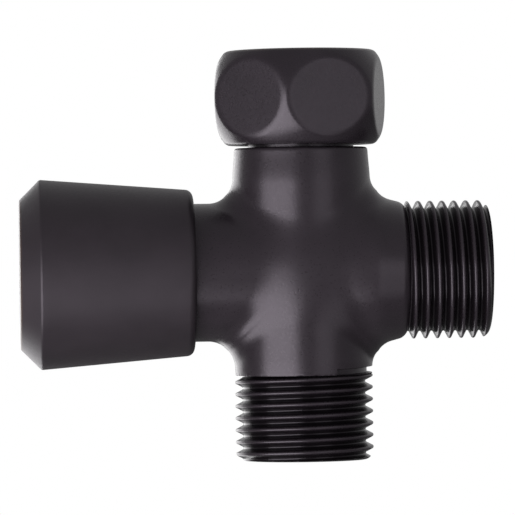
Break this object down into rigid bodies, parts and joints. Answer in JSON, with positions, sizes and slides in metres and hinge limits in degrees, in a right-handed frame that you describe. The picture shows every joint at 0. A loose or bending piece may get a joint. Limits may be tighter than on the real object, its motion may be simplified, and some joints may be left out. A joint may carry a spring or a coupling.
{
  "type": "three-way diverter valve",
  "caption": "Quarter-turn shower-arm diverter with a hex swivel inlet nut on top, a tapered knob on one side and two threaded outlets.",
  "frame": {"origin": "on the inlet axis, at the outer end of the swivel nut's thread", "axes": "+Z along the inlet axis, out of the nut's mouth; +X along the side outlet, away from the knob"},
  "size_m": [0.0712, 0.0288, 0.0622],
  "materials": {
    "black_body": "satin black coating on cast brass, faintly warm at its edges",
    "black_nut": "satin black coating on turned brass",
    "black_knob": "satin black coating on cast zinc",
    "steel": "bright stainless steel",
    "screen": "perforated stainless sheet",
    "black_rubber": "matt black rubber",
    "acetal": "natural acetal",
    "ptfe": "white, slightly waxy",
    "brass": "turned brass"
  },
  "bodies": {
    "housing": {"valve_body": "black_body", "nut_snap_ring": "steel", "inlet_washer": "black_rubber", "inlet_screen": "screen", "inlet_seat": "black_rubber", "seat_spring": "steel", "bonnet": "brass", "bonnet_ring": "black_rubber", "thrust_washer": "ptfe"},
    "nut": {"swivel_nut": "black_nut"},
    "spindle": {"plug": "acetal", "plug_front_ring": "black_rubber", "plug_rear_ring": "black_rubber", "stem": "brass", "stem_inner_ring": "black_rubber", "stem_outer_ring": "black_rubber", "stop_pin": "steel", "knob": "black_knob", "grub_screw": "steel"}
  },
  "joints": [
    {"name": "knob_turn", "type": "hinge", "parent": "housing", "child": "spindle", "pos_m": [0, 0, -0.03265], "axis": [-1, 0, 0], "range_deg": [0, 90]},
    {"name": "nut_swivel", "type": "hinge", "parent": "housing", "child": "nut", "pos_m": [0, 0, 0], "axis": [0, 0, 1], "continuous": true}
  ]
}
